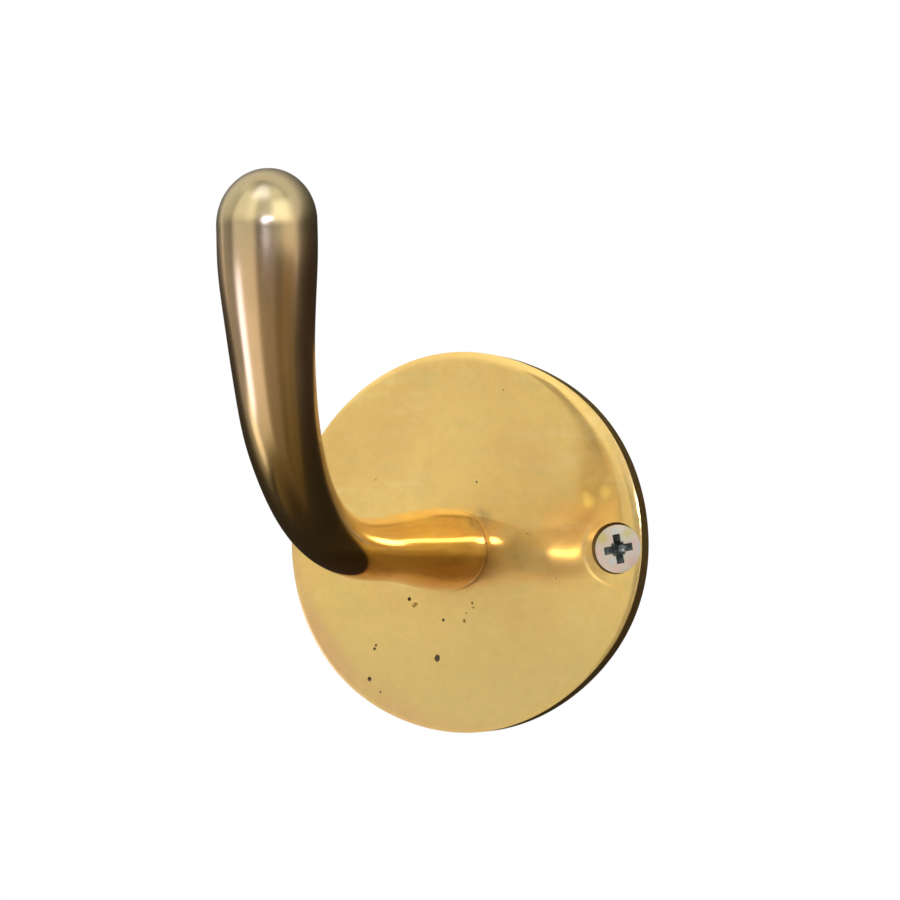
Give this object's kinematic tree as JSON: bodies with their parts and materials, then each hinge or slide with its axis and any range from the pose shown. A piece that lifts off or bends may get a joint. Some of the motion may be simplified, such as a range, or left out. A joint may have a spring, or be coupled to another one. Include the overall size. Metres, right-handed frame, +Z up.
{
  "type": "towel hook",
  "caption": "Brass wall hook: a J-shaped round arm with a rounded tip, standing on a round backplate fixed by countersunk screws.",
  "frame": {"origin": "middle of the backplate's flat back face, on the wall", "axes": "+Z up the wall, +Y into the wall, so the hook reaches towards -Y and +X is to the right seen from the front"},
  "size_m": [0.06, 0.1033, 0.0808],
  "materials": {
    "polished_brass": "polished, with small casting pits",
    "aged_brass": "satin, darkened by handling",
    "screw_brass": "plain turned",
    "zinc_steel": "yellow passivated zinc"
  },
  "bodies": {
    "root": {"backplate": "polished_brass", "hook_arm": "aged_brass", "arm_screw": "screw_brass", "wall_screws": "zinc_steel"}
  },
  "joints": []
}
